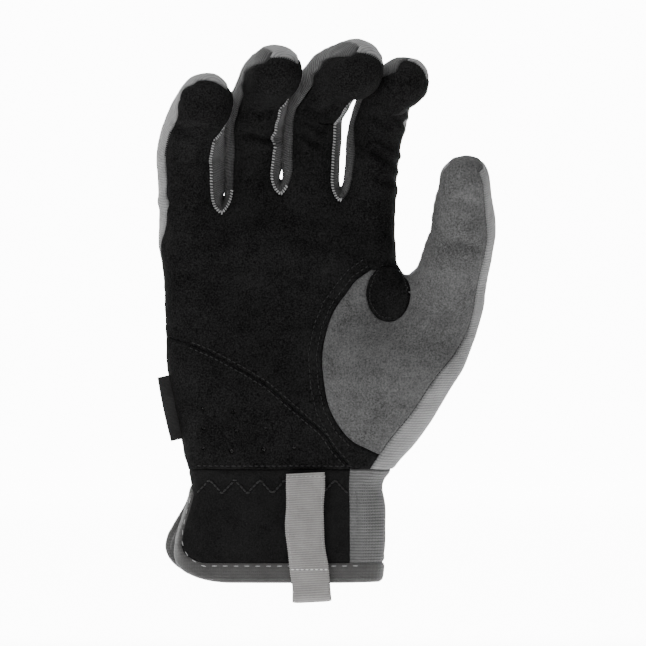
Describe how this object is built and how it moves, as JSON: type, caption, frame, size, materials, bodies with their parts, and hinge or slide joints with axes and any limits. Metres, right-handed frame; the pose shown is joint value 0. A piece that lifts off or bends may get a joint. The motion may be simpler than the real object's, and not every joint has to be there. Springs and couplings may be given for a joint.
{
  "type": "mechanic glove",
  "caption": "Work glove for the right hand with a padded palm, knit gussets between the fingers, an elastic cuff with a side vent and a webbing pull loop.",
  "frame": {"origin": "middle of the cuff's hem, where the wrist goes in", "axes": "+Z from the hem to the fingertips, +Y out of the back of the hand, so the palm faces -Y and the thumb stands at +X"},
  "size_m": [0.1422, 0.073, 0.2356],
  "materials": {
    "palm_suede": "matt brushed",
    "thumb_suede": "matt brushed, heathered",
    "back_knit": "matt, fine ribs",
    "gusset_knit": "matt, fine ribs",
    "cuff_knit": "matt",
    "elastic_knit": "matt, fine ribs",
    "binding_tape": "matt",
    "webbing": "matt, ribbed across",
    "label_tape": "matt woven"
  },
  "bodies": {
    "root": {"palm_panel": "palm_suede", "palm_heel_panel": "palm_suede", "thumb_crotch_patch": "palm_suede", "thumb_panel": "thumb_suede", "back_panel": "back_knit", "fourchette_little_ring": "gusset_knit", "fourchette_ring_middle": "gusset_knit", "fourchette_middle_index": "gusset_knit", "cuff_palm_panel": "cuff_knit", "cuff_back_panel": "elastic_knit", "cuff_binding": "binding_tape", "pull_loop": "webbing", "side_label": "label_tape"}
  },
  "joints": []
}
